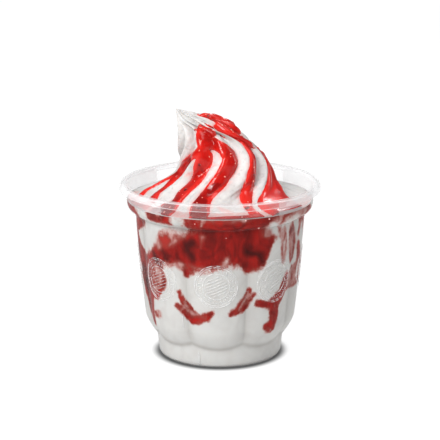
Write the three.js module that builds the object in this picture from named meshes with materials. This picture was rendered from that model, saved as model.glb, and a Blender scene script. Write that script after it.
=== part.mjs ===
// Ice cream sundae in a clear plastic cup: a fluted cup with a rolled rim, soft ice cream
// below, a layer of red fruit sauce, and a ridged swirl on top whose tip leans to the left.
// Millimetres, +Z up. The origin is the middle of the foot, and -Y is the front.
// Angles run from the front (-Y) towards +X.
import * as THREE from "three";

// Cup
const cupHeight = 83.3;
const rimRadius = 47.5;
const wall = 0.7;
const curlRadius = 1.9;
const curlSkirt = 1.5;
const collarRadius = 44.3;
const shoulderBottom = 69.3;
const shoulderTop = 74.4;
const footRadius = 29.4;
const footTaper = 0.1;
const footHeight = 9.2;
const footRounding = 1.0;
const recessRadius = 23.5;
const recessHeight = 1.2;
const floorThickness = 0.9;

// Flutes: convex lobes round the body, with a sharp crease between two of them
const lobeCount = 8;
const lobeTurn = -2.7;
const creaseDepth = 1.6;
const lobeBottomHeight = 19;
const scallopRise = 2.8;

// Filling
const gap = 0.3;
const sauceBottom = 51.3;
const sauceTop = 67.2;
const sauceWave = 2.0;
const fillHeight = 75.6;

// Swirl: one entry for each section, from the cup's wall up to the tip
const swirlSections = [
  { x: 0.0, z: 75.6, radius: 43.2 },
  { x: -1.2, z: 77.0, radius: 37.6 },
  { x: -2.0, z: 79.4, radius: 32.2 },
  { x: -0.6, z: 82.9, radius: 27.0 },
  { x: 1.4, z: 87.7, radius: 23.3 },
  { x: 1.3, z: 93.3, radius: 21.0 },
  { x: -0.8, z: 98.4, radius: 18.9 },
  { x: -4.0, z: 103.2, radius: 16.2 },
  { x: -7.4, z: 108.0, radius: 13.0 },
  { x: -11.6, z: 112.2, radius: 8.9 },
  { x: -16.1, z: 115.0, radius: 4.3 },
  { x: -20.2, z: 117.8, radius: 0.5 },
];
const ridgeCount = 12;
const ridgeDepth = 3.6;
const ridgeDepthShare = 0.38; // of the radius, near the tip
const valleyPlace = 0.62; // of the way from one crest to the next
const ridgeTwist = 50;
const twistLead = 0.16;
const tipTilt = 14;

// How finely the surfaces are divided
const cupColumns = 48;
const layerColumns = 48;
const swirlColumns = 72;
const swirlRows = 17;

const { degToRad, lerp, smoothstep } = THREE.MathUtils;

// 0 in the middle of a lobe, 1 on the crease beside it
function creaseShare(angle) {
  const lobe = (2 * Math.PI) / lobeCount;
  const turns = (angle - degToRad(lobeTurn)) / lobe;
  const fromMiddle = 2 * Math.abs(turns - Math.round(turns));
  return fromMiddle * fromMiddle;
}

// The lobes end in arcs on the foot, so levels near the foot are lifted on the creases.
function liftedLevel(level, crease) {
  if (level >= lobeBottomHeight) return level;
  const share =
    level < footHeight
      ? level / footHeight
      : (lobeBottomHeight - level) / (lobeBottomHeight - footHeight);
  return level + scallopRise * crease * share;
}

// The cup's outer radius in the middle of a lobe: a slight barrel, rounded in at the bottom
function bodyRadius(z) {
  const roundedIn = 0.14 * Math.pow(Math.max(0, lobeBottomHeight - z), 1.5);
  return 33.4 + 0.145 * z - 0.00064 * z * z - roundedIn;
}

// The radius of the cup's surface at a height, moved in by inset. It is the foot's cone, the
// fluted body, the rounded shoulder, or the collar.
function cupRadius(z, crease, inset) {
  const lowest = shoulderBottom + inset;
  if (z >= shoulderTop) return collarRadius - inset;
  if (z > lowest) {
    const start = bodyRadius(lowest) - creaseDepth * crease - inset;
    const drop = (shoulderTop - z) / (shoulderTop - lowest);
    return lerp(start, collarRadius - inset, Math.sqrt(1 - drop * drop));
  }
  const foot = footRadius + footTaper * z;
  return Math.max(foot, bodyRadius(z) - creaseDepth * crease) - inset;
}

// The columns of every ring start on a crease, so that the creases stay sharp.
function columnAngle(column, columns) {
  return degToRad(lobeTurn - 180 / lobeCount) + (2 * Math.PI * column) / columns;
}

function ring(columns, radiusAndHeight) {
  return Array.from({ length: columns }, (_, column) => {
    const angle = columnAngle(column, columns);
    const [radius, z] = radiusAndHeight(creaseShare(angle), angle);
    return new THREE.Vector3(radius * Math.sin(angle), -radius * Math.cos(angle), z);
  });
}

function wallRing(columns, level, inset) {
  return ring(columns, (crease) => {
    const z = liftedLevel(level, crease);
    return [cupRadius(z, crease, inset), z];
  });
}

// One closed body through the rings, in order from the middle of its underside, out and up,
// and in again to the middle of its top.
function loft(rings) {
  const columns = rings[0].length;
  const middle = (points) =>
    points.reduce((sum, p) => sum.add(p), new THREE.Vector3()).divideScalar(columns);
  const points = [...rings.flat(), middle(rings[0]), middle(rings.at(-1))];
  const [under, above] = [points.length - 2, points.length - 1];
  const last = (rings.length - 1) * columns;
  const faces = [];
  for (let j = 0; j < columns; j++) {
    const next = (j + 1) % columns;
    faces.push(under, next, j, above, last + j, last + next);
    for (let row = 0; row < last; row += columns) {
      faces.push(row + j, row + next, row + columns + next);
      faces.push(row + j, row + columns + next, row + columns + j);
    }
  }
  return new THREE.BufferGeometry().setFromPoints(points).setIndex(faces);
}

const bodyLevels = [footHeight, 11, 13.5, 16, lobeBottomHeight, 36, 54];

// Levels up the rounded shoulder, closer together where it turns in
function shoulderLevels(inset) {
  const lowest = shoulderBottom + inset;
  return [0, 0.02, 0.12, 0.3, 0.6, 1].map((share) => lerp(lowest, shoulderTop, share));
}

// Rings round the rolled rim. The arc has its middle on the rim's centre line, and its angle
// runs from 180 degrees, towards the cup's axis, over the top to 0, away from it.
function curlArc(radius, fromAngle, toAngle, steps) {
  const centreRadius = rimRadius - curlRadius;
  const centreHeight = cupHeight - curlRadius;
  return Array.from({ length: steps + 1 }, (_, i) => {
    const angle = degToRad(lerp(fromAngle, toAngle, i / steps));
    const r = centreRadius + radius * Math.cos(angle);
    const z = centreHeight + radius * Math.sin(angle);
    return ring(cupColumns, () => [r, z]);
  });
}

function makeCup() {
  const flat = (radius, z) => ring(cupColumns, () => [radius, z]);
  const outside = (level) => wallRing(cupColumns, level, 0);
  const inside = (level) => wallRing(cupColumns, level, wall);
  const skirtHeight = cupHeight - curlRadius - curlSkirt;
  const floorTop = recessHeight + floorThickness;
  return loft([
    flat(recessRadius, recessHeight),
    flat(recessRadius + recessHeight, 0),
    flat(footRadius - footRounding, 0),
    flat(footRadius - footRounding * 0.3, footRounding * 0.3),
    outside(footRounding),
    ...bodyLevels.map(outside),
    ...shoulderLevels(0).map(outside),
    ...curlArc(curlRadius - wall, 180, 0, 3),
    flat(rimRadius - wall, skirtHeight),
    flat(rimRadius, skirtHeight),
    ...curlArc(curlRadius, 0, 180, 4),
    ...shoulderLevels(wall).reverse().map(inside),
    ...[...bodyLevels].reverse().map(inside),
    inside(floorTop + 1),
    flat(footRadius - wall - 1, floorTop),
  ]);
}

// Where the sauce meets the ice cream at the wall: a wavy line round the cup
const sauceBottomAt = (angle) =>
  sauceBottom + sauceWave * Math.cos(7 * (angle - degToRad(8)));
const sauceTopAt = (angle) =>
  sauceTop + 0.6 * sauceWave * Math.cos(5 * (angle + degToRad(20)));

// A layer's upper or lower face: its waves flatten out towards the cup's axis.
function layerFace(columns, heightAt, meanHeight, offset, shares) {
  return shares.map((share) =>
    ring(columns, (crease, angle) => {
      const edge = heightAt(angle);
      const radius = share * cupRadius(edge, crease, wall + gap);
      return [radius, lerp(meanHeight, edge, share * share) + offset];
    }),
  );
}

// A ring of filling at the cup's wall, at a height that changes round the cup
function fillRing(columns, heightAt) {
  return ring(columns, (crease, angle) => {
    const z = heightAt(angle);
    return [cupRadius(z, crease, wall + gap), z];
  });
}

function makeLowerIceCream() {
  const floorTop = recessHeight + floorThickness + gap;
  const inside = (level) => wallRing(layerColumns, level, wall + gap);
  const below = bodyLevels.filter((level) => level < sauceBottom - 2 * sauceWave);
  return loft([
    ring(layerColumns, () => [footRadius - wall - gap - 1.5, floorTop]),
    inside(floorTop + 1.5),
    ...below.map(inside),
    fillRing(layerColumns, (angle) => sauceBottomAt(angle) - gap / 2),
    ...layerFace(layerColumns, sauceBottomAt, sauceBottom, -gap / 2, [0.85, 0.55]),
  ]);
}

function makeSauceLayer() {
  const middle = (angle) => (sauceBottomAt(angle) + sauceTopAt(angle)) / 2;
  return loft([
    ...layerFace(layerColumns, sauceBottomAt, sauceBottom, gap / 2, [0.55, 0.85]),
    fillRing(layerColumns, (angle) => sauceBottomAt(angle) + gap / 2),
    fillRing(layerColumns, middle),
    fillRing(layerColumns, (angle) => sauceTopAt(angle) - gap / 2),
    ...layerFace(layerColumns, sauceTopAt, sauceTop, -gap / 2, [0.85, 0.55]),
  ]);
}

const swirlCentre = new THREE.CatmullRomCurve3(
  swirlSections.map(({ x, z }) => new THREE.Vector3(x, 0, z)),
);
const swirlRadius = new THREE.SplineCurve(
  swirlSections.map(({ radius }, i) => new THREE.Vector2(i, radius)),
);

// The ridges turn towards the right on their way up, and some of the way back below the tip.
// Those on the right turn sooner than those on the left.
function twistAt(share, angle) {
  const along = share + twistLead * Math.sin(angle);
  const rise = smoothstep(along, 0.17, 0.62);
  const back = 1 - 0.6 * smoothstep(along, 0.62, 0.8);
  return degToRad(ridgeTwist) * rise * back;
}

// 0 on a crest, 1 at the bottom of the valley beside it: crests lean over to one side.
function valleyShare(fromCrest) {
  const slope =
    fromCrest < valleyPlace ? fromCrest / valleyPlace : (1 - fromCrest) / (1 - valleyPlace);
  return Math.pow(Math.sin((Math.PI / 2) * slope), 2);
}

// A ring of the swirl. Its columns follow the ridges, and its plane tilts near the tip.
function swirlRing(share) {
  const i = share * (swirlSections.length - 1);
  const centre = swirlCentre.getPoint(share);
  const radius = swirlRadius.getPoint(share).y;
  const tilt = degToRad(tipTilt) * smoothstep(share, 0.45, 0.85);
  const depth = Math.min(ridgeDepth, ridgeDepthShare * radius) * smoothstep(i, 0, 3);
  return Array.from({ length: swirlColumns }, (_, column) => {
    const start = columnAngle(column, swirlColumns);
    const angle = start + twistAt(share, start);
    const ridges = (ridgeCount * column) / swirlColumns + 1 / 6;
    const r = radius - depth * valleyShare(ridges % 1);
    const across = r * Math.sin(angle);
    return new THREE.Vector3(
      centre.x + across * Math.cos(tilt),
      centre.y - r * Math.cos(angle),
      centre.z + across * Math.sin(tilt),
    );
  });
}

function makeSwirl() {
  const inside = (level) => wallRing(swirlColumns, level, wall + gap);
  return loft([
    ...layerFace(swirlColumns, sauceTopAt, sauceTop, gap / 2, [0.55, 0.85]),
    fillRing(swirlColumns, (angle) => sauceTopAt(angle) + gap / 2),
    ...shoulderLevels(wall + gap).map(inside),
    inside(fillHeight - 0.4),
    ...Array.from({ length: swirlRows + 1 }, (_, row) => swirlRing(row / swirlRows)),
  ]);
}

const clearPlastic = new THREE.MeshStandardMaterial({
  color: 0xf4f5f5,
  roughness: 0.08,
  metalness: 0,
  transparent: true,
  opacity: 0.3,
});
const iceCream = new THREE.MeshStandardMaterial({ color: 0xece8e3, roughness: 0.6, metalness: 0 });
const fruitSauce = new THREE.MeshStandardMaterial({ color: 0xa81f18, roughness: 0.15, metalness: 0 });

const sundae = new THREE.Group();
function addPart(name, geometry, material) {
  const mesh = new THREE.Mesh(geometry, material);
  mesh.name = name;
  sundae.add(mesh);
}

addPart("cup", makeCup(), clearPlastic);
addPart("ice_cream_lower", makeLowerIceCream(), iceCream);
addPart("sauce_layer", makeSauceLayer(), fruitSauce);
addPart("ice_cream_swirl", makeSwirl(), iceCream);

export default sundae;
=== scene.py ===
import math

import bpy
import numpy as np
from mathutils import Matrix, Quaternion, Vector


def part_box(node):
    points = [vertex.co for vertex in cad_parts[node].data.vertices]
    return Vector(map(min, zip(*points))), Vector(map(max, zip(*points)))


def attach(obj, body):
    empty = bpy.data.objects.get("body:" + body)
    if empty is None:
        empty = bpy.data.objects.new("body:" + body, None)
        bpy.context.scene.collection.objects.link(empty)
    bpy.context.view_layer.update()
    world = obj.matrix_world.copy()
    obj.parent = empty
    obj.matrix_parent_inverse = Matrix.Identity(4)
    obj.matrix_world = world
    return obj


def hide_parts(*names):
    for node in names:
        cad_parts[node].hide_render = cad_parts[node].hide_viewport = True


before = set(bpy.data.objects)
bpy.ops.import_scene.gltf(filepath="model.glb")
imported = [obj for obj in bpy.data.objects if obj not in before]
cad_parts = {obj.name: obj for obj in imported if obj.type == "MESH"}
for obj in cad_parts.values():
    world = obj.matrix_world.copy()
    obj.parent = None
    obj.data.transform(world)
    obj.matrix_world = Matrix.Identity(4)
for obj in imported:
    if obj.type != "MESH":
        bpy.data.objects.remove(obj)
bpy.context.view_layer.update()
print("frame loaded:", sorted(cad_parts))

# An ice cream sundae in a clear fluted cup. Shapes are worked out in millimetres, with angles
# in radians from the front (-Y) towards +X.
mm = 0.001
chance = np.random.default_rng(12)

cup = {
    "height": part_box("cup")[1].z / mm,
    "rimRadius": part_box("cup")[1].x / mm,
    "wall": 0.7,
    "curlRadius": 1.9,
    "curlSkirt": 1.5,
    "collarRadius": 44.3,
    "shoulderBottom": 69.3,
    "shoulderTop": 74.4,
    "bodyRadius": 33.4,    # the body widens by a slope that eases off towards the shoulder
    "bodySlope": 0.145,
    "bodyEasing": 0.00064,
    "bottomTurn": 0.14,    # how fast the body turns in below the lobes' bottom
    "footRadius": 29.4,
    "footTaper": 0.1,
    "footHeight": 9.2,
    "footRounding": 1.0,
    "recessRadius": 23.5,
    "recessHeight": 1.2,
    "floorThickness": 0.9,
    "lobes": 8,
    "lobeTurn": math.radians(-2.7),
    "creaseDepth": 1.6,
    "lobeBottom": 19,
    "scallopRise": 2.8,
    "columns": 192,
}

filling = {
    "sink": 0.45,          # how far its skin lies inside the cup's outer face
    "sauceBottom": 51.3,
    "bottomWave": 2.0,
    "bottomWaves": 7,
    "bottomWaveTurn": math.radians(8),
    "sauceTop": 67.2,
    "topWave": 1.2,
    "topWaves": 5,
    "topWaveTurn": math.radians(-20),
    "level": 75.6,
    "evenRowsUpTo": 42,
    "towardsWall": [0, 0.3, 0.6, 0.85, 0.95],
    "columns": 384,
    "rowHeight": 0.6,
}

swirl = {
    "x": [0, -1.2, -2.0, -0.6, 1.4, 1.3, -0.8, -4.0, -7.4, -11.6, -16.1, -20.2],
    "z": [75.6, 77.0, 79.4, 82.9, 87.7, 93.3, 98.4, 103.2, 108.0, 112.2, 115.0, 117.8],
    "radius": [43.2, 37.6, 32.2, 27.0, 23.3, 21.0, 18.9, 16.2, 13.0, 8.9, 4.3, 0.5],
    "ridges": 12,
    "ridgeDepth": 3.6,
    "ridgeShare": 0.38,    # the most that a ridge is deep, as a share of the radius
    "valleyPlace": 0.62,
    "twist": math.radians(50),
    "twistLead": 0.16,
    "tipTilt": math.radians(14),
    "firstCrest": math.radians(-0.2),
    "length": 64,          # from the wall to the tip, over the surface
    "grooves": 4,
    "grooveDepth": 0.2,
    "unevenness": 0.35,
    "reliefSize": 2.2,
    "relief": 0.22,
    "rows": 168,
    "columns": 384,
}


def smoothStep(value, low, high):
    share = np.clip((value - low) / (high - low), 0, 1)
    return share * share * (3 - 2 * share)


def roundTheCup(columns):
    start = cup["lobeTurn"] - math.pi / cup["lobes"]
    return start + 2 * math.pi * np.arange(columns) / columns


def creaseShare(angle):  # 0 in the middle of a lobe, 1 on the crease beside it
    turns = (angle - cup["lobeTurn"]) * cup["lobes"] / (2 * math.pi)
    return (2 * np.abs(turns - np.round(turns))) ** 2


def liftedLevel(level, crease):  # the lobes end in arcs over the foot
    below = level / cup["footHeight"]
    above = (cup["lobeBottom"] - level) / (cup["lobeBottom"] - cup["footHeight"])
    return level + cup["scallopRise"] * crease * np.clip(np.minimum(below, above), 0, 1)


def bodyRadius(z):
    turnedIn = cup["bottomTurn"] * np.maximum(0, cup["lobeBottom"] - z) ** 1.5
    return cup["bodyRadius"] + cup["bodySlope"] * z - cup["bodyEasing"] * z * z - turnedIn


def cupRadius(z, crease, inset):
    z, crease = np.broadcast_arrays(np.asarray(z, float), crease)
    lowest = cup["shoulderBottom"] + inset
    start = bodyRadius(lowest) - cup["creaseDepth"] * crease
    drop = np.clip((cup["shoulderTop"] - z) / (cup["shoulderTop"] - lowest), 0, 1)
    shoulder = start + (cup["collarRadius"] - start) * np.sqrt(1 - drop * drop)
    foot = cup["footRadius"] + cup["footTaper"] * z
    body = np.maximum(foot, bodyRadius(z) - cup["creaseDepth"] * crease)
    return np.where(z > lowest, shoulder, body) - inset


def ring(angle, radius, z):
    angle, radius, z = np.broadcast_arrays(angle, radius, z)
    return np.stack([radius * np.sin(angle), -radius * np.cos(angle), z], axis=-1)


def wallRing(angle, level, inset):
    crease = creaseShare(angle)
    z = liftedLevel(level, crease)
    return ring(angle, cupRadius(z, crease, inset), z)


def shoulderLevels(inset, steps):
    lowest = cup["shoulderBottom"] + inset
    drops = np.cos(np.linspace(0, math.pi / 2, steps + 1))
    return list(cup["shoulderTop"] - drops * (cup["shoulderTop"] - lowest))


def deselectAll():
    if bpy.context.object and bpy.context.object.mode != "OBJECT":
        bpy.ops.object.mode_set(mode="OBJECT")
    bpy.ops.object.select_all(action="DESELECT")


def editMode(piece):
    deselectAll()
    piece.select_set(True)
    bpy.context.view_layer.objects.active = piece
    bpy.ops.object.mode_set(mode="EDIT")


def closeAndTurnOut(piece, sharpAngle=40):
    editMode(piece)
    bpy.ops.mesh.select_all(action="SELECT")
    bpy.ops.mesh.remove_doubles(threshold=0.001 * mm)
    bpy.ops.mesh.normals_make_consistent(inside=False)
    bpy.ops.object.mode_set(mode="OBJECT")
    bpy.ops.object.shade_smooth_by_angle(angle=math.radians(sharpAngle))


def applyModifiers(piece):
    deselectAll()
    piece.select_set(True)
    bpy.context.view_layer.objects.active = piece
    for modifier in list(piece.modifiers):
        bpy.ops.object.modifier_apply(modifier=modifier.name)


# A flat grid with a row for each ring, bent round until its side edges meet. The fields are
# numbers kept on its vertices for the materials.
def addBentGrid(name, rings, fields=None):
    rings = np.asarray(rings)
    rows, columns = rings.shape[:2]
    deselectAll()
    bpy.ops.mesh.primitive_grid_add(x_subdivisions=columns, y_subdivisions=rows - 1, size=1)
    piece = bpy.context.object
    piece.name = name
    flat = np.empty(len(piece.data.vertices) * 3)
    piece.data.vertices.foreach_get("co", flat)
    flat = flat.reshape(-1, 3) + 0.5
    column = np.rint(flat[:, 0] * columns).astype(int) % columns
    row = np.rint(flat[:, 1] * (rows - 1)).astype(int)
    piece.data.vertices.foreach_set("co", (rings[row, column] * mm).ravel())
    for field, values in (fields or {}).items():
        kept = piece.data.attributes.new(field, "FLOAT", "POINT")
        kept.data.foreach_set("value", np.asarray(values)[row, column].astype(np.float32))
    piece.data.update()
    return piece


def addRelief(piece, size, strength, depth=2):
    texture = bpy.data.textures.new(piece.name + "Relief", "CLOUDS")
    texture.noise_scale = size * mm
    texture.noise_depth = depth
    relief = piece.modifiers.new("Relief", "DISPLACE")
    relief.texture = texture
    relief.texture_coords = "LOCAL"
    relief.strength = strength * mm
    relief.mid_level = 0.5
    applyModifiers(piece)


def joinAll(name, pieces):
    deselectAll()
    for piece in pieces:
        piece.select_set(True)
    bpy.context.view_layer.objects.active = pieces[0]
    bpy.ops.object.join()
    joined = bpy.context.object
    joined.name = name
    bpy.ops.object.transform_apply(location=True, rotation=True, scale=True)
    return joined


# How far inside a stroke each place is, in mm. A stroke is a chain of points, each with half
# its width, and scaleU and scaleV turn the two coordinates into millimetres.
def strokeField(u, v, scaleU, scaleV, stroke, period):
    best = np.full(np.broadcast(u, v).shape, -30.0)
    for (u0, v0, half0), (u1, v1, half1) in zip(stroke, stroke[1:]):
        fromU = u - u0
        fromU = (fromU - period * np.round(fromU / period)) * scaleU
        fromV = (v - v0) * scaleV
        alongU, alongV = (u1 - u0) * scaleU, (v1 - v0) * scaleV
        share = (fromU * alongU + fromV * alongV) / (alongU * alongU + alongV * alongV)
        share = np.clip(share, 0, 1)
        away = np.hypot(fromU - share * alongU, fromV - share * alongV)
        best = np.maximum(best, half0 + (half1 - half0) * share - away)
    return best


def blendFields(fields, softness=0.5):
    total = fields[0] / softness
    for field in fields[1:]:
        total = np.logaddexp(total, field / softness)
    return total * softness


# At the wall: degrees round the cup, height, and half the width
wallSauce = {
    "bandLower": [(-178, 49), (-155, 53), (-135, 48), (-118, 51), (-100, 45), (-86, 40), (-82, 56),
                  (-66, 55), (-59, 49), (-47, 49), (-33, 52.3), (-21, 48.5), (-10, 51), (3, 52.6),
                  (12, 53.3), (19, 49.1), (25, 48.9), (32, 51.5), (36, 58), (39, 63.6), (50, 67),
                  (70, 67), (90, 58), (108, 51), (128, 49), (150, 54)],
    "bandUpper": [(-178, 66), (-152, 70), (-128, 64), (-105, 67), (-88, 61), (-80, 50), (-66, 50),
                  (-57, 54), (-50, 58), (-45, 65), (-35.5, 67.6), (-24, 67.5), (-12, 70.3),
                  (-8, 78), (30, 78), (31, 72), (39, 65), (50, 61), (70, 62), (90, 66), (112, 69),
                  (136, 64), (156, 71)],
    "strokes": [
        [(-24.4, 51, 1.7), (-24.4, 46.6, 0.9)],
        [(-16, 78, 3.6), (-16.5, 71.2, 3.1)],
        [(-46, 78, 6), (-37, 77.6, 6), (-33, 79, 3.5)],
        [(-78, 78, 6.5), (-71, 71, 6), (-80, 65, 3.4), (-86, 60, 1.6)],
        [(-84, 62, 1.2), (-80, 52, 4), (-70, 44, 8.5), (-67, 34, 6.6), (-66, 25, 4),
         (-62, 19.5, 1.8)],
        [(-53, 47, 6), (-50, 42, 5.5), (-54, 35, 3.2)],
        [(-57, 24, 1.6), (-52, 24.8, 1.6)],
        [(-31, 38.2, 0.7), (-28, 33.6, 1.5), (-22, 30, 1.6), (-17.5, 27.2, 0.9)],
        [(-33.5, 31.4, 1.1), (-27, 28.7, 1.9), (-21.5, 25.7, 2.4), (-16.5, 25.2, 2.1),
         (-10, 27.3, 1.9), (-6, 29.4, 0.7)],
        [(21.7, 39.8, 1.3), (20, 36, 1.9), (16.6, 32.4, 2), (12.5, 29.8, 1.6), (8, 28.9, 0.9)],
        [(25.3, 37.4, 0.9), (21.5, 34.2, 1.1), (17, 30.5, 0.8)],
        [(56, 43, 2), (51, 36, 2.8), (46, 33, 3.2), (43, 31, 3.8), (43.5, 27.5, 3.2),
         (43.6, 23.4, 2.8), (41.6, 19.6, 2.6)],
        [(38.5, 19.8, 1.9), (36.6, 20.4, 1.5)],
        [(28.6, 33, 1.5), (36, 31.6, 1.3)],
        [(41.5, 71.7, 0.9), (47, 65, 1.9), (49.5, 58, 2.1), (50, 51.5, 1.3)],
        [(57, 70, 1.6), (60, 64, 3.4), (62, 58, 3.8), (62.5, 51, 2.4)],
        [(73, 56, 1.4), (76, 47, 2.6), (77, 39, 1.8)],
        [(72, 74, 1.6), (74, 67, 1.9), (71, 61, 0.8)],
        [(92, 47, 6), (80, 42, 6), (68, 41, 5.6), (59, 39, 3)],
        [(112, 44, 2.2), (116, 34, 2.6), (114, 26, 1.6)],
        [(146, 40, 1.5), (154, 33, 2.3), (164, 29, 2.2), (172, 31, 0.8)],
        [(-158, 42, 2.4), (-150, 35, 2.8), (-152, 24, 1.4)],
        [(-128, 30, 0.8), (-120, 26, 2.2), (-110, 27, 1.8), (-104, 31, 0.7)],
        [(-104, 48, 4), (-98, 38, 3.2), (-101, 29, 1.2)],
        [(100, 60, 5), (72, 72, 2), (62, 76, 4.6), (48, 77.5, 4.4), (34, 77, 4.6)],
        [(168, 72, 3), (172, 77, 5)], [(-140, 68, 3), (-136, 77, 4.5)],
        [(118, 70, 3), (122, 77, 5)],
    ],
    "iceCream": [  # streaks of ice cream over the sauce
        [(-25, 78, 2.2), (-27.5, 73, 3.4), (-28.5, 69.5, 2.6)],
        [(-55, 76, 3), (-56, 68, 5), (-58, 63, 3.6)],
        [(3, 52.5, 1.5), (5, 55.5, 0.8)],
        [(46, 71, 3.4), (54, 70.5, 2.8)],
        [(135, 60, 2), (142, 56, 3.2)], [(-165, 60, 3), (-160, 55, 2)],
    ],
    "haze": [  # sauce with ice cream worked into it
        [(-46, 60, 4.4), (-38, 64, 5.6), (-27, 66, 3.4)],
        [(-30, 37, 1), (-24, 29, 2), (-12, 26.5, 2.2)], [(22, 38, 1.8), (14, 31, 1.8)],
        [(-12, 66, 2.2), (-13, 61, 1)],
        [(-50, 45, 5), (-52, 40, 5), (-56, 35, 3)], [(-57, 24, 3), (-51, 25, 3)],
        [(3, 53.6, 1.8), (5, 55.4, 1.6)],
        [(33, 68, 5), (42, 71, 6.5), (60, 72, 6.5)], [(47, 66, 3.6), (50, 58, 4), (50, 51, 3)],
        [(74, 62, 6), (60, 58, 6)], [(-8, 75.6, 3), (15, 75.6, 3)],
        [(88, 44, 8), (68, 41, 6.5), (60, 39, 3.5)], [(61, 62, 2.6), (62.5, 52, 3)],
        [(-8, 51, 1.5), (-30, 52, 2.2)],
        [(116, 62, 5), (128, 57, 4)], [(-120, 60, 5), (-108, 56, 4)], [(170, 58, 6), (184, 62, 4)],
    ],
    "deep": [  # darker patches in the sauce
        [(-23.5, 61, 2.4), (-19, 63, 2.4)], [(-23, 59.4, 2.4), (-18, 55.2, 1.3)],
        [(-53, 56, 1.4), (-49.5, 52, 1.6)],
        [(-42.5, 57.5, 1), (-38.5, 52.8, 1.3)],
        [(19, 58.5, 1.4), (28, 56.5, 2.2), (31, 52.5, 1.2)],
        [(-76, 42, 4), (-70, 34, 3.2), (-68, 26, 2)],
        [(60, 64, 2), (62, 56, 2.4)], [(74, 44, 2), (68, 41, 1.6)],
        [(-40, 76.6, 3.6), (-44, 78, 4)],
        [(100, 60, 2.6), (106, 55, 2)], [(-142, 58, 2.8), (-146, 54, 1.6)],
        [(160, 66, 2.4), (163, 62, 1.5)],
    ],
}


def wallFields(angle, z):
    degrees = np.degrees(angle)
    perDegree = math.radians(cup["collarRadius"] * 0.87)
    def strokes(name):
        return blendFields([strokeField(degrees, z, perDegree, 1, stroke, 360)
                            for stroke in wallSauce[name]])
    lower = np.interp(degrees, *zip(*wallSauce["bandLower"]), period=360)
    upper = np.interp(degrees, *zip(*wallSauce["bandUpper"]), period=360)
    band = np.minimum(z - lower, upper - z)
    drips = np.minimum(strokes("strokes"), 0.5)
    cover = strokes("iceCream")
    red = np.minimum(blendFields([band, drips]), -cover)
    softness = 1.0 + 1.5 * smoothStep(np.maximum(band, cover) - drips, -2, 2)
    # Painted shade: the "crease" field darkens the filling's colour along the lobes' creases and in
    # a band along the arcs where the lobes meet the foot.
    crease = creaseShare(angle)
    foot = cup["footRadius"] + cup["footTaper"] * z
    overFoot = bodyRadius(z) - cup["creaseDepth"] * crease - foot
    paintedArcShade = np.exp(-((overFoot - 0.3) / 0.9) ** 2) * smoothStep(z, 6, 9.4)
    return {"sauce": np.clip(red / softness, -4, 4), "haze": np.clip(strokes("haze"), -6, 6),
            "deep": np.clip(strokes("deep"), -6, 6),
            "crease": np.maximum(crease ** 3 * smoothStep(overFoot, 0, 3), paintedArcShade)}


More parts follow.
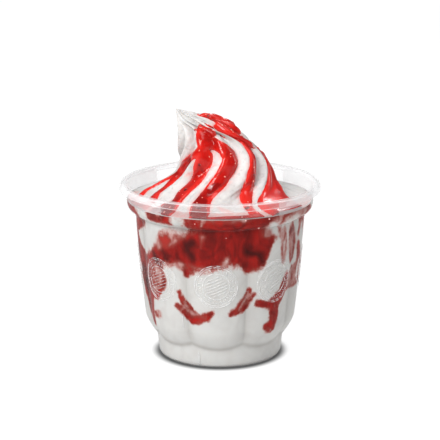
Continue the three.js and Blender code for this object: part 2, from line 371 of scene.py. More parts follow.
# On the swirl: ridges round it (crests lie on whole numbers), share of the way up, and half
# the width
streams = {
    "front": [
        [(-0.46, -0.01, 3.8), (-0.42, 0.1, 4.8), (-0.41, 0.17, 4.6), (-0.42, 0.24, 3.5),
         (-0.48, 0.31, 3.2), (-0.58, 0.37, 3.2), (-0.62, 0.44, 3.4), (-0.65, 0.5, 3.4),
         (-0.7, 0.555, 3), (-0.92, 0.605, 2.6), (-1.2, 0.635, 2.6)],
        [(-1.38, 0.652, 3.2), (-1.64, 0.67, 4.1), (-1.72, 0.7, 3.9), (-1.7, 0.722, 2.8)],
        [(-1.5, 0.735, 2.8), (-0.95, 0.745, 2.2), (-0.5, 0.765, 1.3)],
        [(-1.35, -0.01, 6.6), (-1.28, 0.07, 5.6), (-1.18, 0.15, 3.3), (-1.18, 0.19, 3.2),
         (-1.26, 0.25, 3.9), (-1.29, 0.3, 3.5), (-1.38, 0.37, 3), (-1.46, 0.42, 2.8),
         (-1.55, 0.46, 2.9), (-1.62, 0.505, 3), (-1.7, 0.55, 2.7), (-1.82, 0.6, 2),
         (-1.84, 0.63, 1.8)],
        [(-1.93, 0, 4.2), (-1.95, 0.08, 3.2), (-2, 0.15, 2.5), (-2.2, 0.21, 2.3),
         (-2.42, 0.27, 2.1), (-2.6, 0.33, 1.8), (-2.66, 0.4, 1.7), (-2.57, 0.465, 2.2),
         (-2.38, 0.525, 2.6), (-2.14, 0.575, 2.5), (-1.92, 0.615, 2)],
        [(-2.5, 0.04, 2), (-2.72, 0.11, 1.3), (-2.88, 0.17, 0.8), (-2.92, 0.24, 0.7),
         (-2.86, 0.3, 0.7), (-2.72, 0.37, 0.7)],
        [(0.8, -0.01, 3.4), (0.85, 0.1, 2), (0.82, 0.18, 1.6), (0.6, 0.285, 2.2), (0.4, 0.36, 2.7),
         (0.29, 0.43, 2.8), (0.27, 0.49, 2.6), (0.32, 0.54, 2.6), (0.48, 0.59, 3.1),
         (0.78, 0.63, 3.6), (1.05, 0.67, 4.3), (1.25, 0.72, 4), (1.55, 0.77, 3), (1.85, 0.82, 1.8),
         (2, 0.86, 1)],
        [(1.4, 0.69, 3.2), (2.1, 0.72, 2.8), (2.9, 0.73, 2.2), (3.6, 0.71, 1.4)],
        [(2, 0.84, 1.2), (2.8, 0.8, 2), (3.6, 0.77, 1.5)],
        [(1.6, -0.01, 9.2), (1.62, 0.08, 8.8), (1.6, 0.13, 8.4), (1.58, 0.18, 7.4),
         (1.56, 0.23, 6.2), (1.55, 0.29, 5.2), (1.54, 0.36, 4.8), (1.54, 0.43, 4), (1.62, 0.475, 3),
         (1.66, 0.51, 2)],
        [(-0.3, 0, 2), (0.1, 0.004, 2.4), (0.7, 0.01, 2.6)],
        [(-3.1, 0, 1.6), (-2.6, 0.01, 3.2), (-1.9, 0, 3.4)],
    ],
    "back": [
        [(3.8, 0.4, 1.6), (3.7, 0.5, 2.2), (3.7, 0.6, 1.8)],
        [(5.2, 0, 5), (5.1, 0.12, 4.2), (4.9, 0.26, 3.2), (4.65, 0.42, 3), (4.5, 0.56, 2.6),
         (4.3, 0.66, 2)],
        [(5.8, 0.14, 1.2), (5.72, 0.24, 2.4), (5.55, 0.36, 2.2), (5.45, 0.47, 1.4)],
        [(-5.3, 0, 6.5), (-5.35, 0.12, 4.6), (-5.4, 0.27, 3.4), (-5.55, 0.43, 2.8),
         (-5.6, 0.55, 2)],
        [(-4.5, 0.24, 1.4), (-4.6, 0.34, 2), (-4.5, 0.43, 1.2)],
    ],
    # The deep strokes also paint the shade on the lower parts of the streams.
    "deep": [  # thick, darker sauce
        [(-0.42, 0.03, 4), (-0.45, 0.2, 3.2), (-0.6, 0.33, 1.8)],
        [(-1.3, 0.02, 5.5), (-1.2, 0.13, 2.6)],
        [(5.1, 0.1, 3.5), (4.7, 0.35, 2)], [(-5.35, 0.05, 4), (-5.4, 0.25, 2.2)],
    ],
    "thin": [  # thin, brighter sauce
        [(0.76, 0.02, 4), (0.74, 0.2, 2.6), (0.45, 0.31, 1.6)],
        [(1.1, 0.7, 2.6), (1.9, 0.76, 2.6)],
        [(1.5, 0.12, 6), (1.5, 0.26, 4), (1.5, 0.4, 2.6)],
        [(5.7, 0.2, 1.6), (5.6, 0.3, 1.6)],
    ],
    "film": [  # ice cream that a thin film of sauce stains
        [(-3.2, 0.02, 5), (-1.6, 0.02, 4.6), (0, 0.03, 4.6), (1.6, 0.02, 4.6), (3, 0.01, 3)],
        [(-1.8, 0.4, 1.6), (-1, 0.5, 1)], [(0.1, 0.16, 1.4), (0.3, 0.08, 3)],
        [(1.6, 0.84, 1.6), (1.2, 0.8, 1.8)],
    ],
    "rise": 1.0,
    "thickness": 0.8,
    "edgeWidth": 1.4,
    "valleyFill": 0.4,
    "sunkEdge": 0.8,
}


def strokesOnSwirl(around, share, strokes):
    radius = smoothCurve(swirl["radius"], share)
    perRidge = radius * 2 * math.pi / swirl["ridges"]
    fields = [strokeField(around, share, perRidge, swirl["length"], stroke, swirl["ridges"])
              for stroke in strokes]
    return blendFields(fields, 0.35)


def streamField(around, share):
    return strokesOnSwirl(around, share, streams["front"] + streams["back"])


def smoothCurve(values, share):  # a curve through the values, evenly spread from 0 to 1
    values = np.array([values[0], *values, values[-1]], float)
    place = np.clip(share, 0, 1) * (len(values) - 3)
    first = np.minimum(place.astype(int), len(values) - 4)
    past = place - first
    p0, p1, p2, p3 = (values[first + k] for k in range(4))
    slope1, slope2 = (p2 - p0) / 2, (p3 - p1) / 2
    return ((2 * p1 - 2 * p2 + slope1 + slope2) * past ** 3
            + (3 * p2 - 3 * p1 - 2 * slope1 - slope2) * past ** 2 + slope1 * past + p1)


def twistAt(share, angle):
    along = share + swirl["twistLead"] * np.sin(angle)
    back = 1 - 0.6 * smoothStep(along, 0.62, 0.8)
    return swirl["twist"] * smoothStep(along, 0.17, 0.62) * back


def ridgeCoordinate(angle):
    return (angle - swirl["firstCrest"]) * swirl["ridges"] / (2 * math.pi)


def swirlSurface(angle, share, fill=0.0, grooved=True):
    share, angle = np.broadcast_arrays(np.asarray(share, float), angle)
    around = ridgeCoordinate(angle)
    radius = smoothCurve(swirl["radius"], share)
    turned = angle + twistAt(share, angle)
    tilt = swirl["tipTilt"] * smoothStep(share, 0.45, 0.85)
    fromCrest = around - np.floor(around)
    valleyPlace = swirl["valleyPlace"]
    slope = np.where(fromCrest < valleyPlace, fromCrest / valleyPlace,
                     (1 - fromCrest) / (1 - valleyPlace))
    depth = np.minimum(swirl["ridgeDepth"], swirl["ridgeShare"] * radius)
    depth = depth * smoothStep(share * (len(swirl["x"]) - 1), 0, 3) * (1 - fill)
    r = radius - depth * np.sin(math.pi / 2 * slope) ** 2
    uneven = np.sin(2.1 * around + 13 * share) * np.sin(17 * share - 1.3 * around)
    r = r + swirl["unevenness"] * uneven * smoothStep(radius, 4, 16)
    if grooved:
        ripple = np.sin(math.pi * swirl["grooves"] * around + 3 * np.sin(9 * share + around)) ** 2
        fade = smoothStep(radius, 4, 14) * smoothStep(share, 0.06, 0.2)
        r = r - swirl["grooveDepth"] * ripple * fade
    across = r * np.sin(turned)
    return np.stack([smoothCurve(swirl["x"], share) + across * np.cos(tilt), -r * np.cos(turned),
                     smoothCurve(swirl["z"], share) + across * np.sin(tilt)], axis=-1)


# Python's operators on a wire add Math nodes
class Wire:
    def __init__(self, shader, socket):
        self.shader, self.socket = shader, socket

    def maths(self, operation, first, second):
        return self.shader.add("Math", {"operation": operation}, {0: first, 1: second})

    def __add__(self, other): return self.maths("ADD", self, other)
    def __radd__(self, other): return self.maths("ADD", other, self)
    def __sub__(self, other): return self.maths("SUBTRACT", self, other)
    def __rsub__(self, other): return self.maths("SUBTRACT", other, self)
    def __mul__(self, other): return self.maths("MULTIPLY", self, other)
    def __rmul__(self, other): return self.maths("MULTIPLY", other, self)


class Shader:
    def __init__(self, name):
        self.material = bpy.data.materials.new(name)
        self.material.use_nodes = True
        self.tree = self.material.node_tree
        self.tree.nodes.clear()

    def add(self, kind, settings=None, inputs=None, output=0):
        node = self.tree.nodes.new("ShaderNode" + kind)
        for setting, value in (settings or {}).items():
            if setting == "stops":
                self.setStops(node.color_ramp, value)
            else:
                setattr(node, setting, value)
        for socket, value in (inputs or {}).items():
            if isinstance(value, Wire):
                self.tree.links.new(value.socket, node.inputs[socket])
            else:
                node.inputs[socket].default_value = value
        return Wire(self, node.outputs[output])

    def setStops(self, ramp, stops):
        while len(ramp.elements) < len(stops):
            ramp.elements.new(1)
        for element, (place, colour) in zip(ramp.elements, stops):
            element.position, element.color = place, colour

    def place(self):
        return self.add("TexCoord", output="Object")

    def noise(self, size, detail=3, roughness=0.5, distortion=0.0, place=None):
        return self.add("TexNoise", None, {
            "Vector": place or self.place(), "Scale": 1 / (size * mm), "Detail": detail,
            "Roughness": roughness, "Distortion": distortion})

    def stretchedUp(self, scale):
        return self.add("Mapping", None, {"Vector": self.place(), "Scale": (1, 1, scale)})

    def field(self, name):
        return self.add("Attribute", {"attribute_name": name}, output="Fac")

    def step(self, value, low, high):
        return self.add("MapRange", {"interpolation_type": "SMOOTHSTEP"},
                        {"Value": value, "From Min": low, "From Max": high})

    def mix(self, share, first, second, blend="MIX"):
        return self.add("Mix", {"data_type": "RGBA", "blend_type": blend},
                        {0: share, 6: first, 7: second}, 2)

    def ramp(self, share, stops):
        return self.add("ValToRGB", {"stops": stops}, {"Fac": share})

    def bump(self, height, depth, strength):
        return self.add("Bump", None, {"Height": height, "Distance": depth * mm,
                                       "Strength": strength})

    def principled(self, **values):
        inputs = {name.replace("_", " "): value for name, value in values.items()}
        return self.add("BsdfPrincipled", None, inputs)

    def finish(self, surface):
        output = self.tree.nodes.new("ShaderNodeOutputMaterial")
        self.tree.links.new(surface.socket, output.inputs["Surface"])
        return self.material


def rgb(red, green, blue):  # a screen colour as the shader's own light values
    def light(value):
        value = value / 255
        return value / 12.92 if value <= 0.04045 else ((value + 0.055) / 1.055) ** 2.4
    return (light(red), light(green), light(blue), 1)


colours = {
    "iceCream": rgb(214, 212, 210),
    "iceCreamShade": rgb(198, 195, 193),
    "paintedPitShade": rgb(176, 172, 170),
    "iceCreamAtWall": rgb(204, 203, 200),
    "iceCreamAtWallShade": rgb(198, 196, 193),
    "paintedCreaseShade": rgb(206, 203, 200),
    "sauce": rgb(184, 18, 12),
    "sauceBright": rgb(214, 40, 32),
    "sauceDeep": rgb(136, 10, 7),
    "sauceAtWallBright": rgb(170, 26, 18),
    "sauceAtWall": rgb(140, 20, 14),
    "sauceAtWallDeep": rgb(100, 12, 8),
    "smear": rgb(186, 142, 136),
    "smearDeep": rgb(142, 60, 52),
    "stain": rgb(226, 150, 142),
    "fruit": rgb(72, 7, 5),
    "fruitLump": rgb(104, 10, 8),
    # Pale seeds: their colour also paints small sparkles of light on the sauce
    "seed": rgb(244, 168, 148),
    # Air bubbles: pale colours that paint the light they catch against the cup
    "bubble": rgb(216, 130, 124),
    "paintedBubbleGlint": rgb(250, 220, 214),
}


def iceCreamFinish():
    s = Shader("softIceCream")
    soft = s.noise(9, 4, 0.6)
    grain = s.noise(0.7, 3, 0.65, 0.4)
    pits = s.noise(1.9, 2, 0.5, 0.8)
    base = s.mix(s.step(soft, 0.35, 0.7), colours["iceCream"], colours["iceCreamShade"])
    # Painted shade of the fine pits: the ice cream is darker where the pits noise is high
    base = s.mix(s.step(pits, 0.56, 0.78) * 0.6, base, colours["paintedPitShade"])
    stain = s.step(s.field("stain") + s.noise(2.5, 3, 0.6) * 3 - 1.5, -1.7, 0.6)
    base = s.mix(stain * 0.65, base, colours["stain"])
    height = grain * 0.5 + s.step(pits, 0.5, 0.75) * 0.5
    return s.finish(s.principled(
        Base_Color=base, Roughness=0.5 + 0.2 * grain, Normal=s.bump(height, 0.2, 0.8),
        Subsurface_Weight=0.25, Subsurface_Radius=(1, 0.85, 0.7), Subsurface_Scale=2.5 * mm))


def fillingFinish(name):
    s = Shader(name)
    wide = s.noise(6, 3, 0.55, 0.7, s.stretchedUp(0.7))
    fine = s.noise(1.5, 2, 0.5, 0.6)
    streaks = s.noise(6, 3, 0.5, 0.8, s.stretchedUp(0.6))
    sauce = s.field("sauce") + (wide * 2.6 - 1.3) + (fine * 1.5 - 0.75)
    haze = s.step(s.field("haze") + wide * 3 - 1.5, -1.0, 3.0)
    deep = s.step(s.field("deep") + streaks * 2.4 - 1.2, -2.0, 2.0)
    amount = s.step(sauce, -1.4, 1.3) * (1 - haze * (0.25 + 0.45 * s.step(streaks, 0.3, 0.7)))
    iceCream = s.mix(s.step(wide, 0.35, 0.7), colours["iceCreamAtWall"],
                     colours["iceCreamAtWallShade"])
    red = s.ramp(streaks, [(0.32, colours["sauceAtWallBright"]), (0.5, colours["sauceAtWall"]),
                           (0.7, colours["sauceAtWallDeep"])])
    # Darkest red in the patches that the deep strokes mark
    red = s.mix(deep, red, colours["fruit"])
    base = s.mix(s.step(amount, 0.0, 0.4), iceCream, colours["smear"])
    base = s.mix(s.step(amount, 0.2, 0.65), base, colours["smearDeep"])
    base = s.mix(s.step(amount, 0.45, 0.95), base, red)
    # Painted shade in the creases and along the lobes' bottom arcs, multiplied into the colour
    base = s.mix(s.field("crease") * 0.5, base, colours["paintedCreaseShade"], "MULTIPLY")
    return s.finish(s.principled(
        Base_Color=base, Roughness=0.65 - 0.3 * amount,
        Normal=s.bump(fine * amount + streaks, 0.06, 0.3),
        Specular_IOR_Level=0.06, Subsurface_Weight=0.15, Subsurface_Radius=(1, 0.8, 0.65),
        Subsurface_Scale=2 * mm))


def sauceFinish():
    s = Shader("strawberrySauce")
    wide = s.noise(7, 3, 0.5, 0.5)
    fine = s.noise(1.1, 3, 0.6, 0.6)
    tone = s.field("tone")
    depth = s.step(s.field("sauce") + wide * 2 - 1, 0.1, 2.4)
    base = s.mix(depth, colours["sauceBright"], colours["sauce"])
    base = s.mix(s.step(wide - tone * 0.35, 0.5, 0.8), base, colours["sauceDeep"])
    base = s.mix(s.step(tone + wide * 0.6 - 0.3, 0.2, 1.0) * 0.8, base, colours["sauceBright"])
    return s.finish(s.principled(
        Base_Color=base, Roughness=0.07 + 0.1 * fine, Normal=s.bump(fine, 0.18, 0.5),
        Specular_IOR_Level=0.25, Coat_Weight=0.15, Coat_Roughness=0.04, Subsurface_Weight=0.15,
        Subsurface_Radius=(1, 0.2, 0.15), Subsurface_Scale=2 * mm))


def clearPlasticFinish():
    s = Shader("clearCupPlastic")
    fine = s.noise(6, 2, 0.5)
    height = s.add("SeparateXYZ", None, {0: s.place()}, "Z")
    top = cup["shoulderTop"]
    bare = s.step(height, top * mm, (top + 2) * mm)  # above the filling
    facing = s.add("Fresnel", None, {"IOR": 1.46})
    plastic = s.principled(Base_Color=(0.97, 0.97, 0.975, 1), Roughness=0.12 + 0.08 * fine,
                           Normal=s.bump(fine, 0.05, 0.3))
    clear = s.add("BsdfTransparent", None, {"Color": (0.985, 0.986, 0.988, 1)})
    share = facing * (0.16 + 0.3 * bare) + 0.02 * bare
    return s.finish(s.add("MixShader", None, {0: share, 1: clear, 2: plastic}))


def ringPlasticFinish(name, least, more):
    s = Shader(name)
    fine = s.noise(1.2, 2, 0.6)
    plastic = s.principled(Base_Color=(0.98, 0.98, 0.98, 1), Roughness=0.15 + 0.1 * fine,
                           Normal=s.bump(fine, 0.06, 0.4))
    clear = s.add("BsdfTransparent", None, {"Color": (1, 1, 1, 1)})
    share = least + more * s.step(fine, 0.4, 0.62)
    return s.finish(s.add("MixShader", None, {0: share, 1: clear, 2: plastic}))


def fruitFinish():
    s = Shader("fruitFlesh")
    fine = s.noise(1.2, 4, 0.6, 0.5)
    base = s.mix(s.step(fine, 0.4, 0.65), colours["fruitLump"], colours["sauceDeep"])
    return s.finish(s.principled(Base_Color=base, Roughness=0.18 + 0.1 * fine,
                                 Normal=s.bump(fine, 0.25, 0.6), Coat_Weight=0.5))


# Strawberry seeds, coloured pale pink so that they also stand in for the sauce's small sparkles: a
# painted highlight.
def seedFinish():
    s = Shader("berrySeed")
    fine = s.noise(0.5, 3, 0.6)
    base = s.mix(s.step(fine, 0.35, 0.75) * 0.7, colours["seed"], colours["sauceBright"])
    return s.finish(s.principled(Base_Color=base, Roughness=0.25 + 0.15 * fine, Coat_Weight=0.6,
                                 Normal=s.bump(fine, 0.05, 0.5)))


# Air bubbles against the cup, coloured pale: the colour paints their glint.
def bubbleFinish():
    s = Shader("airBubble")
    fine = s.noise(0.8, 2, 0.5)
    base = s.mix(fine, colours["bubble"], colours["paintedBubbleGlint"])
    return s.finish(s.principled(Base_Color=base, Roughness=0.05 + 0.1 * fine, Coat_Weight=0.5,
                                 Normal=s.bump(fine, 0.03, 0.3)))


def setMaterials(piece, *materials):
    piece.data.materials.clear()
    for material in materials:
        piece.data.materials.append(material)


clearPlastic = clearPlasticFinish()
softIceCream = iceCreamFinish()
sauceGloss = sauceFinish()
print("materials made")


def curlArc(angle, radius, fromDegrees, toDegrees, steps):
    centreRadius = cup["rimRadius"] - cup["curlRadius"]
    centreHeight = cup["height"] - cup["curlRadius"]
    turns = np.radians(np.linspace(fromDegrees, toDegrees, steps + 1))
    return [ring(angle, centreRadius + radius * math.cos(turn),
                 centreHeight + radius * math.sin(turn)) for turn in turns]


def makeCup():
    angle = roundTheCup(cup["columns"])
    wall, foot, rounding = cup["wall"], cup["footRadius"], cup["footRounding"]
    skirt = cup["height"] - cup["curlRadius"] - cup["curlSkirt"]
    floorTop = cup["recessHeight"] + cup["floorThickness"]
    levels = [*np.linspace(rounding, cup["footHeight"], 5)[:-1],
              *np.linspace(cup["footHeight"], cup["lobeBottom"], 15)[:-1],
              *np.linspace(cup["lobeBottom"], cup["shoulderBottom"], 22)[:-1]]
    def outside(level): return wallRing(angle, level, 0)
    def inside(level): return wallRing(angle, level, wall)
    def flat(radius, z): return ring(angle, radius, z)
    bottomArc = [flat(foot - rounding + rounding * math.sin(turn),
                      rounding - rounding * math.cos(turn)) for turn in np.radians([0, 22, 45, 68])]
    rings = [
        flat(0, cup["recessHeight"]),
        flat(cup["recessRadius"], cup["recessHeight"]),
        flat(cup["recessRadius"] + 0.7, cup["recessHeight"] - 0.3),
        flat(cup["recessRadius"] + cup["recessHeight"], 0),
        *bottomArc,
        *map(outside, levels),
        *map(outside, shoulderLevels(0, 10)),
        *curlArc(angle, cup["curlRadius"] - wall, 180, 0, 14),
        flat(cup["rimRadius"] - wall, skirt + 0.2),
        flat(cup["rimRadius"] - wall / 2, skirt),
        flat(cup["rimRadius"], skirt + 0.2),
        *curlArc(angle, cup["curlRadius"], 0, 180, 18),
        *map(inside, shoulderLevels(wall, 10)[::-1]),
        *map(inside, [level for level in levels[::-1] if level > floorTop + 1]),
        flat(foot - wall - 1, floorTop),
        flat(0, floorTop),
    ]
    piece = addBentGrid("clearCup", rings)
    closeAndTurnOut(piece)
    setMaterials(piece, clearPlastic)
    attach(piece, "root")
    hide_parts("cup")


makeCup()
print("cup made")


# Raised rings in the middle of each lobe, with a circle of ticks and a few slanting bars
badge = {
    "height": 42.6,
    "radii": [10.2, 9.4, 6.3],
    "tube": 0.18,
    "ticks": 40,
    "tickLength": 1.7,
    "tickRadius": 7.9,
    "bars": 7,
    "barSpacing": 1.35,
    "barsRadius": 5.2,
    "barTube": 0.14,
    "slant": math.radians(24),
}

# The two halves of the mould leave fine upright lines, drawn pale so that they also paint upright
# highlights on the foot and a lobe: degrees, and the heights of the ends
seams = {
    "places": [(-19, 1.4, 8), (161, 1.4, 8), (-29, 20.5, 26.5), (151, 20.5, 26.5)],
    "tube": 0.2,
}


def bendToLobe(piece, lobe):
    centre = cup["lobeTurn"] + lobe * 2 * math.pi / cup["lobes"]
    flat = np.empty(len(piece.data.vertices) * 3)
    piece.data.vertices.foreach_get("co", flat)
    x, y, rise = (flat.reshape(-1, 3) / mm).T
    z = badge["height"] + y
    angle = centre + x / bodyRadius(badge["height"])
    bent = ring(angle, cupRadius(z, creaseShare(angle), 0) + rise, z)
    piece.data.vertices.foreach_set("co", (bent * mm).ravel())
    piece.data.update()


def addBar(length, place, turn):  # a thin bar that lies in the badge's plane
    deselectAll()
    bpy.ops.mesh.primitive_cylinder_add(vertices=6, radius=badge["barTube"] * mm,
                                        depth=length * mm, rotation=(0, math.pi / 2, 0))
    bar = bpy.context.object
    bpy.ops.object.transform_apply(location=False, rotation=True, scale=True)
    bar.rotation_euler = (0, 0, turn)
    bar.location = (place[0] * mm, place[1] * mm, 0)
    bpy.ops.object.transform_apply(location=True, rotation=True, scale=True)
    editMode(bar)
    bpy.ops.mesh.select_all(action="SELECT")
    bpy.ops.mesh.subdivide(number_cuts=2)
    bpy.ops.object.mode_set(mode="OBJECT")
    return bar


def makeSeams():
    pieces = []
    for degrees, bottom, top in seams["places"]:
        angle = math.radians(degrees)
        low, high = (float(cupRadius(z, creaseShare(angle), 0)) for z in (bottom, top))
        deselectAll()
        bpy.ops.mesh.primitive_cylinder_add(vertices=8, radius=seams["tube"] * mm,
                                            depth=(top - bottom) * mm)
        seam = bpy.context.object
        seam.rotation_euler = (math.atan2(high - low, top - bottom), 0, angle)
        seam.location = Vector(ring(angle, (low + high) / 2, (bottom + top) / 2)) * mm
        pieces.append(seam)
    piece = joinAll("mouldSeams", pieces)
    bpy.ops.object.shade_smooth()
    # Half-opaque pale plastic: a painted highlight along the seams
    setMaterials(piece, ringPlasticFinish("mouldSeamPlastic", 0.42, 0.12))
    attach(piece, "root")


def makeBadges():
    slant = badge["slant"]
    pieces = []
    for lobe in range(cup["lobes"]):
        for radius in badge["radii"]:
            deselectAll()
            bpy.ops.mesh.primitive_torus_add(
                major_radius=radius * mm, minor_radius=badge["tube"] * mm, major_segments=60,
                minor_segments=6)
            pieces.append(bpy.context.object)
            bendToLobe(pieces[-1], lobe)
        for k in range(badge["ticks"]):
            turn = 2 * math.pi * k / badge["ticks"]
            place = (badge["tickRadius"] * math.cos(turn), badge["tickRadius"] * math.sin(turn))
            pieces.append(addBar(badge["tickLength"], place, turn + slant))
            bendToLobe(pieces[-1], lobe)
        for k in range(badge["bars"]):
            offset = (k - (badge["bars"] - 1) / 2) * badge["barSpacing"]
            half = math.sqrt(badge["barsRadius"] ** 2 - offset ** 2)
            place = (-offset * math.sin(slant), offset * math.cos(slant))
            pieces.append(addBar(2 * half, place, slant))
            bendToLobe(pieces[-1], lobe)
    piece = joinAll("raisedRings", pieces)
    bpy.ops.object.shade_smooth()
    setMaterials(piece, ringPlasticFinish("raisedRingPlastic", 0.07, 0.38))
    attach(piece, "root")


makeBadges()
makeSeams()
print("raised rings and seams made")


def sauceBottomAt(angle):
    turned = angle - filling["bottomWaveTurn"]
    return filling["sauceBottom"] + filling["bottomWave"] * np.cos(filling["bottomWaves"] * turned)


def sauceTopAt(angle):
    turned = angle - filling["topWaveTurn"]
    return filling["sauceTop"] + filling["topWave"] * np.cos(filling["topWaves"] * turned)


def layerFace(angle, heightAt, meanHeight, shares):
    edge = heightAt(angle)
    radius = cupRadius(edge, creaseShare(angle), filling["sink"])
    return [ring(angle, share * radius, meanHeight + (edge - meanHeight) * share * share)
            for share in shares]


def wallRings(angle, lowerAt, upperAt, rows):
    heights = [lowerAt + (upperAt - lowerAt) * share for share in np.linspace(0, 1, rows + 1)]
    return [ring(angle, cupRadius(z, creaseShare(angle), filling["sink"]), z) for z in heights]


def makeFilling(name, rings, node, material):
    rings = np.asarray(rings)
    angle = np.arctan2(rings[..., 0], -rings[..., 1])
    piece = addBentGrid(name, rings, wallFields(angle, rings[..., 2]))
    closeAndTurnOut(piece, 60)
    setMaterials(piece, material)
    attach(piece, "root")
    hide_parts(node)


fillingAngle = roundTheCup(filling["columns"])
towardsWall = filling["towardsWall"]


def makeLowerIceCream():
    angle = fillingAngle
    sink = filling["sink"]
    evenTop = filling["evenRowsUpTo"]
    recess, overRecess = cup["recessRadius"], cup["recessHeight"] + sink
    lifted = [wallRing(angle, level, sink)
              for level in np.arange(cup["footRounding"] + sink, evenTop, filling["rowHeight"])]
    rings = [
        ring(angle, 0, overRecess),
        ring(angle, 0.5 * recess, overRecess),
        ring(angle, recess, overRecess),
        ring(angle, recess + cup["recessHeight"], sink),
        ring(angle, cup["footRadius"] - cup["footRounding"], sink),
        ring(angle, cup["footRadius"] - sink - 0.15, cup["footRounding"]),
        *lifted,
        *wallRings(angle, np.full_like(angle, evenTop), sauceBottomAt(angle), 18),
        *layerFace(angle, sauceBottomAt, filling["sauceBottom"], towardsWall[::-1]),
    ]
    makeFilling("lowerIceCream", rings, "ice_cream_lower",
                fillingFinish("iceCreamInCup"))


def makeSauceLayer():
    angle = fillingAngle
    rings = [
        *layerFace(angle, sauceBottomAt, filling["sauceBottom"], towardsWall),
        *wallRings(angle, sauceBottomAt(angle), sauceTopAt(angle), 28),
        *layerFace(angle, sauceTopAt, filling["sauceTop"], towardsWall[::-1]),
    ]
    makeFilling("fruitSauceLayer", rings, "sauce_layer", fillingFinish("sauceInCup"))


makeLowerIceCream()
makeSauceLayer()
print("filling made")


def makeSwirl():
    angle = roundTheCup(swirl["columns"])
    sink = filling["sink"]
    shoulder = shoulderLevels(sink, 8)
    lowest = np.full_like(angle, shoulder[0] - 0.3)
    wallPart = [
        *layerFace(angle, sauceTopAt, filling["sauceTop"], towardsWall),
        *wallRings(angle, sauceTopAt(angle), lowest, 4),
        *[wallRing(angle, z, sink) for z in shoulder],
        ring(angle, cup["collarRadius"] - sink, (cup["shoulderTop"] + filling["level"]) / 2),
        ring(angle, cup["collarRadius"] - sink, filling["level"] - 0.2),
    ]
    shares = np.linspace(0, 1, swirl["rows"] + 1)
    upper = [swirlSurface(angle, share) for share in shares]
    tip = ring(angle, 0, 0) + upper[-1].mean(axis=0)
    rings = np.asarray([*wallPart, *upper, tip])
    wallRows = len(wallPart)
    wallAngle = np.arctan2(rings[:wallRows, :, 0], -rings[:wallRows, :, 1])
    atWall = wallFields(wallAngle, rings[:wallRows, :, 2])
    around = ridgeCoordinate(angle)
    onSwirl = np.asarray([streamField(around, np.full_like(around, share)) for share in shares])
    film = np.asarray([strokesOnSwirl(around, np.full_like(around, share), streams["film"])
                       for share in shares])
    onSwirl = np.maximum(onSwirl, np.minimum(film - 1.2, 0))
    onSwirl = np.clip(np.concatenate([onSwirl, onSwirl[-1:]]), -6, 6)
    clean = np.full_like(onSwirl, -6)
    fields = {"sauce": np.concatenate([atWall["sauce"], clean]),
              "haze": np.concatenate([atWall["haze"], clean]),
              "deep": np.concatenate([atWall["deep"], clean]),
              "crease": np.concatenate([atWall["crease"], np.zeros_like(onSwirl)]),
              "stain": np.concatenate([np.full_like(atWall["sauce"], -6), onSwirl])}
    piece = addBentGrid("iceCreamSwirl", rings, fields)
    closeAndTurnOut(piece, 80)
    setMaterials(piece, softIceCream, fillingFinish("swirlInCup"))
    wallTop = (filling["level"] - 0.1) * mm
    for face in piece.data.polygons:
        face.material_index = 1 if face.center.z < wallTop else 0
    addRelief(piece, swirl["reliefSize"], swirl["relief"])
    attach(piece, "root")
    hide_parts("ice_cream_swirl")


makeSwirl()
print("swirl made")


def makeStreams():
    columns, rows = swirl["columns"], swirl["rows"]
    angle = roundTheCup(columns)
    shares = np.linspace(0, 1, rows + 1)[:, None]
    angles = np.broadcast_to(angle, (rows + 1, columns))
    shares = np.broadcast_to(shares, angles.shape)
    around = ridgeCoordinate(angles)
    inside = streamField(around, shares)
    fill = streams["valleyFill"] * smoothStep(inside, 0, 3)
    surface = swirlSurface(angles, shares, fill, grooved=False)
    along = np.gradient(surface, axis=0)
    sideways = np.roll(surface, -1, axis=1) - np.roll(surface, 1, axis=1)
    normal = np.cross(sideways, along)
    normal /= np.maximum(np.linalg.norm(normal, axis=-1, keepdims=True), 1e-9)
    edge = np.clip(inside / streams["edgeWidth"], 0, 1)
    uneven = 1 + 0.25 * np.sin(5 * around + 21 * shares) * np.sin(31 * shares)
    rise = streams["rise"] * uneven * np.sqrt(1 - (1 - edge) ** 2)
    rise = np.where(inside < 0, np.maximum(inside, -streams["sunkEdge"]), rise)
    tone = (smoothStep(strokesOnSwirl(around, shares, streams["thin"]), -1, 1)
            - smoothStep(strokesOnSwirl(around, shares, streams["deep"]), -1, 1))
    skin = surface + normal * rise[..., None]
    piece = addBentGrid("sauceStreams", skin, {"sauce": np.clip(inside, -6, 6), "tone": tone})
    editMode(piece)
    bpy.ops.mesh.select_all(action="DESELECT")
    bpy.ops.object.mode_set(mode="OBJECT")
    field = piece.data.attributes["sauce"].data
    for face in piece.data.polygons:
        face.select = all(field[corner].value < -streams["sunkEdge"] for corner in face.vertices)
    bpy.ops.object.mode_set(mode="EDIT")
    bpy.ops.mesh.delete(type="FACE")
    bpy.ops.object.mode_set(mode="OBJECT")
    closeAndTurnOut(piece, 80)
    thick = piece.modifiers.new("Thickness", "SOLIDIFY")
    thick.thickness = streams["thickness"] * mm
    thick.offset = -1
    applyModifiers(piece)
    setMaterials(piece, sauceGloss)
    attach(piece, "root")
    return {"skin": skin, "normal": normal, "inside": inside}


sauceSkin = makeStreams()
print("streams made")


def copyTo(name, source, places):  # a place is a point in mm, the way up, a size and a turn
    copies = []
    for point, up, size, turn in places:
        deselectAll()
        source.select_set(True)
        bpy.context.view_layer.objects.active = source
        bpy.ops.object.duplicate()
        copy = bpy.context.object
        copy.rotation_euler = (Vector(up).to_track_quat("Z", "Y")
                               @ Quaternion((0, 0, 1), turn)).to_euler()
        copy.location = Vector(point) * mm
        copy.scale = (size, size, size)
        copies.append(copy)
    bpy.data.objects.remove(source)
    piece = joinAll(name, copies)
    bpy.ops.object.shade_smooth()
    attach(piece, "root")
    return piece


seeds = {
    "count": 95,
    "length": 0.5,
    "width": 0.34,
    "height": 0.26,
    "taper": 0.55,
    "clear": 1.0,          # how far inside a stream they lie, in mm
    "sizes": (0.5, 1.1),
}


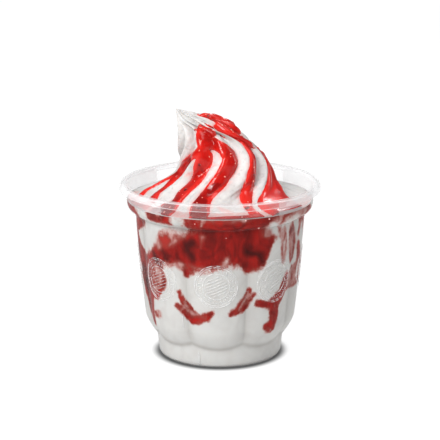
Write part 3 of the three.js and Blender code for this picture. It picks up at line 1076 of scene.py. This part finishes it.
def makeSeeds():
    deselectAll()
    bpy.ops.mesh.primitive_uv_sphere_add(segments=10, ring_count=7, radius=seeds["length"] * mm)
    seed = bpy.context.object
    for vertex in seed.data.vertices:
        x, y, z = vertex.co
        pinch = 1 - seeds["taper"] * max(0, y) / (seeds["length"] * mm)
        vertex.co = (x * pinch * seeds["width"] / seeds["length"], y,
                     z * pinch * seeds["height"] / seeds["length"])
    rows, columns = np.nonzero(sauceSkin["inside"] > seeds["clear"])
    picked = chance.choice(len(rows), seeds["count"], replace=False)
    places = [(sauceSkin["skin"][rows[k], columns[k]], sauceSkin["normal"][rows[k], columns[k]],
               chance.uniform(*seeds["sizes"]), chance.uniform(0, 2 * math.pi)) for k in picked]
    setMaterials(copyTo("seeds", seed, places), seedFinish())


# Lumps of fruit: ridge, share of the way up, and size
fruit = {
    "places": [(1.85, 0.835, 0.55), (0.32, 0.4, 0.6), (-1.22, 0.28, 0.7), (-0.45, 0.13, 1.1),
               (1.62, 0.14, 1), (-2, 0.1, 0.9), (-1.72, 0.49, 0.6), (0.78, 0.12, 0.8),
               (1.3, 0.7, 0.7), (3.7, 0.5, 1), (4.85, 0.3, 1.2), (-5.4, 0.3, 1.1),
               (5.1, 0.1, 1.4), (5.72, 0.24, 0.9), (-5.35, 0.08, 1.3), (-1.35, 0.04, 1.3),
               (-4.6, 0.33, 0.8)],
    "radius": 1.25,
    "stretch": 1.25,
    "flatness": 0.6,
    "reliefSize": 1.3,
    "relief": 1.1,
    "sink": 0.15,
}


def makeFruit():
    deselectAll()
    bpy.ops.mesh.primitive_ico_sphere_add(subdivisions=4, radius=fruit["radius"] * mm)
    lump = bpy.context.object
    addRelief(lump, fruit["reliefSize"], fruit["relief"], 1)
    lump.scale = (1, fruit["stretch"], fruit["flatness"])
    bpy.ops.object.transform_apply(location=False, rotation=False, scale=True)
    start = roundTheCup(swirl["columns"])[0]
    places = []
    for around, share, size in fruit["places"]:
        angle = around * 2 * math.pi / swirl["ridges"] + swirl["firstCrest"]
        column = round((angle - start) / (2 * math.pi) * swirl["columns"]) % swirl["columns"]
        row = round(share * swirl["rows"])
        up = sauceSkin["normal"][row, column]
        point = sauceSkin["skin"][row, column] - fruit["sink"] * up
        places.append((point, up, size, chance.uniform(0, 2 * math.pi)))
    setMaterials(copyTo("fruitPieces", lump, places), fruitFinish())


# Air bubbles between the sauce and the cup: degrees round it, height and radius. The others
# lie where chance puts them, on the sauce at the sides and the back.
bubbles = {
    "places": [(15.4, 75.0, 0.42), (30.6, 74.6, 0.42), (25, 70.4, 0.5), (4, 66, 0.22),
               (-15, 73.4, 0.3)],
    "more": 18,
    "degrees": (60, 300),
    "heights": (22, 74),
    "radii": (0.22, 0.45),
    "clear": 0.8,
}


def makeBubbles():
    deselectAll()
    bpy.ops.mesh.primitive_uv_sphere_add(segments=14, ring_count=9, radius=mm)
    places = list(bubbles["places"])
    while len(places) < len(bubbles["places"]) + bubbles["more"]:
        degrees, z = chance.uniform(*bubbles["degrees"]), chance.uniform(*bubbles["heights"])
        if wallFields(np.radians([degrees]), np.array([z]))["sauce"][0] > bubbles["clear"]:
            places.append((degrees, z, chance.uniform(*bubbles["radii"])))
    spots = []
    for degrees, z, radius in places:
        angle = math.radians(degrees)
        out = (math.sin(angle), -math.cos(angle), 0)
        across = float(cupRadius(z, creaseShare(angle), filling["sink"]))
        spots.append(((across * out[0], across * out[1], z), out, radius, 0))
    setMaterials(copyTo("airBubbles", bpy.context.object, spots), bubbleFinish())


makeSeeds()
makeFruit()
makeBubbles()
print("seeds, fruit and bubbles made")


# The floor's shadow lies close round the foot: where it starts and ends, from the middle
stage = {
    "floorSize": 8,
    "closeShadow": (0.0283, 0.0335),
    "wideShadow": (0.028, 0.038),
    "middle": (0, 0, 0.07),
    "worldLight": 0.2,
}

camera = {"place": (0, -0.85, 0.2876), "aim": (0, 0, 0.0642), "lens": 151.8}


def makeStage():
    deselectAll()
    bpy.ops.mesh.primitive_plane_add(size=stage["floorSize"])
    floor = bpy.context.object
    floor.name = "floor"
    s = Shader("paleFloor")
    away = s.add("VectorMath", {"operation": "LENGTH"}, {0: s.place()}, "Value")
    close = 1 - s.step(away, *stage["closeShadow"])
    wide = 1 - s.step(away, *stage["wideShadow"])
    lit = s.mix(close * 0.8 + wide * 0.17, (1, 1, 1, 1), (0.03, 0.03, 0.03, 1))
    setMaterials(floor, s.finish(s.principled(
        Base_Color=s.mix(close, (0.12, 0.12, 0.12, 1), (0.02, 0.02, 0.02, 1)), Roughness=0.9,
        Specular_IOR_Level=0.0, Emission_Color=lit, Emission_Strength=0.98)))


def addSoftbox(name, place, width, height, power):
    deselectAll()
    bpy.ops.object.light_add(type="AREA", location=place)
    light = bpy.context.object
    light.name = name
    light.data.shape = "RECTANGLE"
    light.data.size, light.data.size_y = width, height
    light.data.energy = power
    aim = Vector(stage["middle"]) - Vector(place)
    light.rotation_euler = aim.to_track_quat("-Z", "Y").to_euler()


def makeCamera():
    deselectAll()
    aim = Vector(camera["aim"]) - Vector(camera["place"])
    bpy.ops.object.camera_add(location=camera["place"],
                              rotation=aim.to_track_quat("-Z", "Y").to_euler())
    added = bpy.context.object
    added.data.sensor_width = 36
    added.data.lens = camera["lens"]
    added.data.clip_start = 0.01
    bpy.context.scene.camera = added


def makeWorld():
    world = bpy.data.worlds.new("studio")
    world.use_nodes = True
    background = world.node_tree.nodes["Background"]
    background.inputs["Color"].default_value = (1, 1, 1, 1)
    background.inputs["Strength"].default_value = stage["worldLight"]
    bpy.context.scene.world = world


makeStage()
addSoftbox("key", (-0.5, -0.72, 0.75), 0.5, 0.5, 11.0)
addSoftbox("top", (0.2, -0.1, 0.95), 0.4, 0.4, 2)
addSoftbox("rightStrip", (0.6, 0.25, 0.3), 0.06, 0.5, 0.5)
addSoftbox("sparkleLeft", (-0.3, -0.7, 0.6), 0.05, 0.05, 0.9)
addSoftbox("sparkleRight", (0.35, -0.55, 0.5), 0.035, 0.035, 0.5)
addSoftbox("sparkleBack", (0.2, 0.5, 0.6), 0.1, 0.1, 0.8)
makeCamera()
makeWorld()
bpy.context.scene.view_settings.view_transform = "Standard"
print("stage, lights and camera made")
